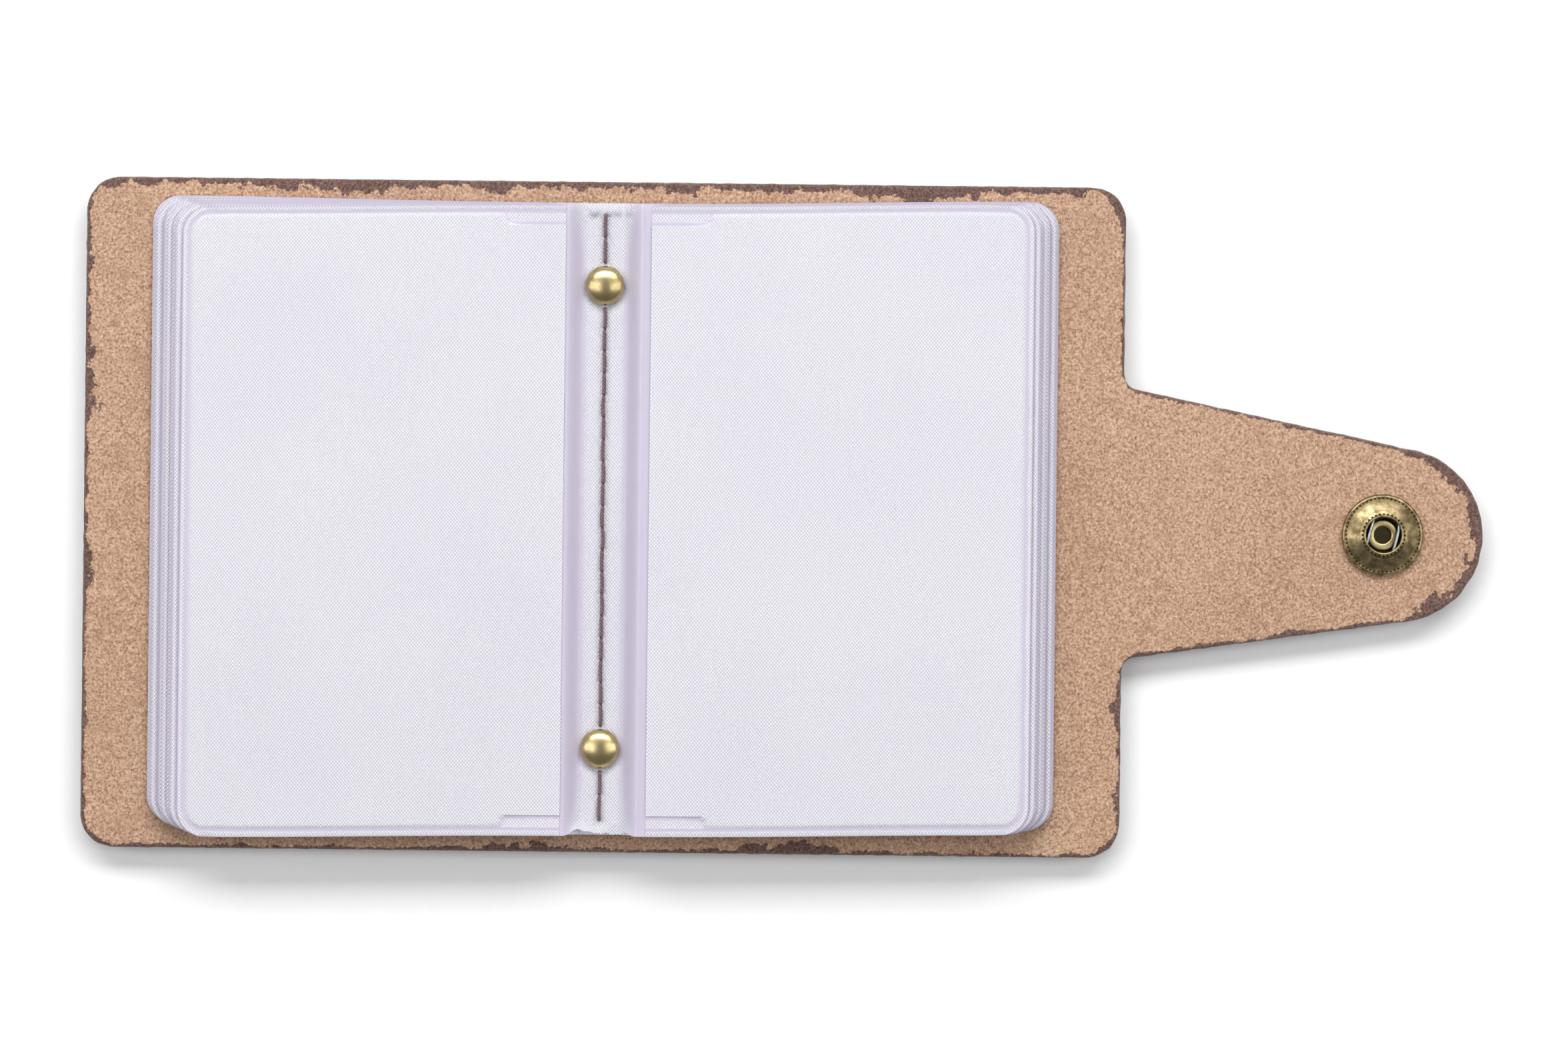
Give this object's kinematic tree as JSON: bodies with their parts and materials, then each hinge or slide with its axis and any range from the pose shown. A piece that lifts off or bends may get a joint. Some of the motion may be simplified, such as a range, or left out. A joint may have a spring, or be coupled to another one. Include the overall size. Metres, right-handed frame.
{
  "type": "snap-tab card case",
  "caption": "Open leather card case with a snap strap and sewn, riveted clear card-pocket pages that fold shut between its covers.",
  "frame": {"origin": "middle of the open case's bounding box, on the surface that its fastener studs rest on", "axes": "+X from the front cover to the strap's tip, +Y along the spine, +Z out of the open inside"},
  "size_m": [0.2141, 0.1026, 0.0104],
  "materials": {
    "hide": "flesh side of a waxed cowhide, napped and matt",
    "clear_film": "clear embossed PVC film with a faint lavender tint",
    "thread": "twisted, waxed mauve-brown thread",
    "polished_brass": "glossy antique brass plating",
    "antique_brass": "dark bronze-green antique brass plating",
    "spring_wire": "bright spring wire"
  },
  "bodies": {
    "spine": {"spine_panel": "hide", "front_fold": "hide", "back_fold": "hide", "sewn_middle": "clear_film", "left_web": "clear_film", "right_web": "clear_film", "needle_thread_upper": "thread", "bobbin_thread_upper": "thread", "needle_thread_middle": "thread", "bobbin_thread_middle": "thread", "needle_thread_lower": "thread", "bobbin_thread_lower": "thread", "upper_rivet_cap": "polished_brass", "upper_rivet_post": "polished_brass", "lower_rivet_cap": "polished_brass", "lower_rivet_post": "polished_brass"},
    "front_cover": {"front_panel": "hide", "snap_stud": "antique_brass", "stud_eyelet": "antique_brass"},
    "back_cover": {"back_panel": "hide", "strap_root_fold": "hide"},
    "strap": {"strap_wrap": "hide", "strap_tip_fold": "hide"},
    "strap_end": {"strap_tip": "hide", "snap_cap": "polished_brass", "snap_socket": "antique_brass", "snap_spring": "spring_wire"},
    "left_pages": {"left_page_02": "clear_film", "left_page_03": "clear_film", "left_page_04": "clear_film", "left_page_05": "clear_film", "left_page_06": "clear_film", "left_page_07": "clear_film", "left_page_08": "clear_film", "left_page_09": "clear_film", "left_page_10": "clear_film"},
    "right_pages": {"right_page_02": "clear_film", "right_page_03": "clear_film", "right_page_04": "clear_film", "right_page_05": "clear_film", "right_page_06": "clear_film", "right_page_07": "clear_film", "right_page_08": "clear_film", "right_page_09": "clear_film", "right_page_10": "clear_film"},
    "left_top_page": {"left_page_01": "clear_film"},
    "right_top_page": {"right_page_01": "clear_film"}
  },
  "joints": [
    {"name": "front_cover_fold", "type": "hinge", "parent": "spine", "child": "front_cover", "pos_m": [-0.03455, 0, 0.00345], "axis": [0, 1, 0], "range_deg": [0, 90], "deforming": ["front_fold"]},
    {"name": "back_cover_fold", "type": "hinge", "parent": "spine", "child": "back_cover", "pos_m": [-0.02055, 0, 0.00345], "axis": [0, -1, 0], "range_deg": [0, 90], "deforming": ["back_fold"]},
    {"name": "strap_fold", "type": "hinge", "parent": "back_cover", "child": "strap", "pos_m": [0.05325, 0, 0.00345], "axis": [0, -1, 0], "range_deg": [0, 90], "deforming": ["strap_root_fold"]},
    {"name": "strap_end_fold", "type": "hinge", "parent": "strap", "child": "strap_end", "pos_m": [0.07275, 0, 0.00345], "axis": [0, -1, 0], "range_deg": [0, 90], "deforming": ["strap_tip_fold"]},
    {"name": "left_pages_fold", "type": "hinge", "parent": "spine", "child": "left_pages", "pos_m": [-0.0298, 0, 0.0083], "axis": [0, 1, 0], "range_deg": [0, 90], "deforming": ["left_web"]},
    {"name": "right_pages_fold", "type": "hinge", "parent": "spine", "child": "right_pages", "pos_m": [-0.0253, 0, 0.0083], "axis": [0, -1, 0], "range_deg": [0, 90], "deforming": ["right_web"]},
    {"name": "left_top_page_turn", "type": "hinge", "parent": "left_pages", "child": "left_top_page", "pos_m": [-0.02755, 0, 0.01055], "axis": [0, -1, 0], "range_deg": [-179.5, 0]},
    {"name": "right_top_page_turn", "type": "hinge", "parent": "right_pages", "child": "right_top_page", "pos_m": [-0.02755, 0, 0.01055], "axis": [0, 1, 0], "range_deg": [-179.5, 0]}
  ],
  "couplings": [
    {"joint": "left_pages_fold", "follows": "front_cover_fold", "ratio": 1},
    {"joint": "right_pages_fold", "follows": "back_cover_fold", "ratio": 1}
  ]
}
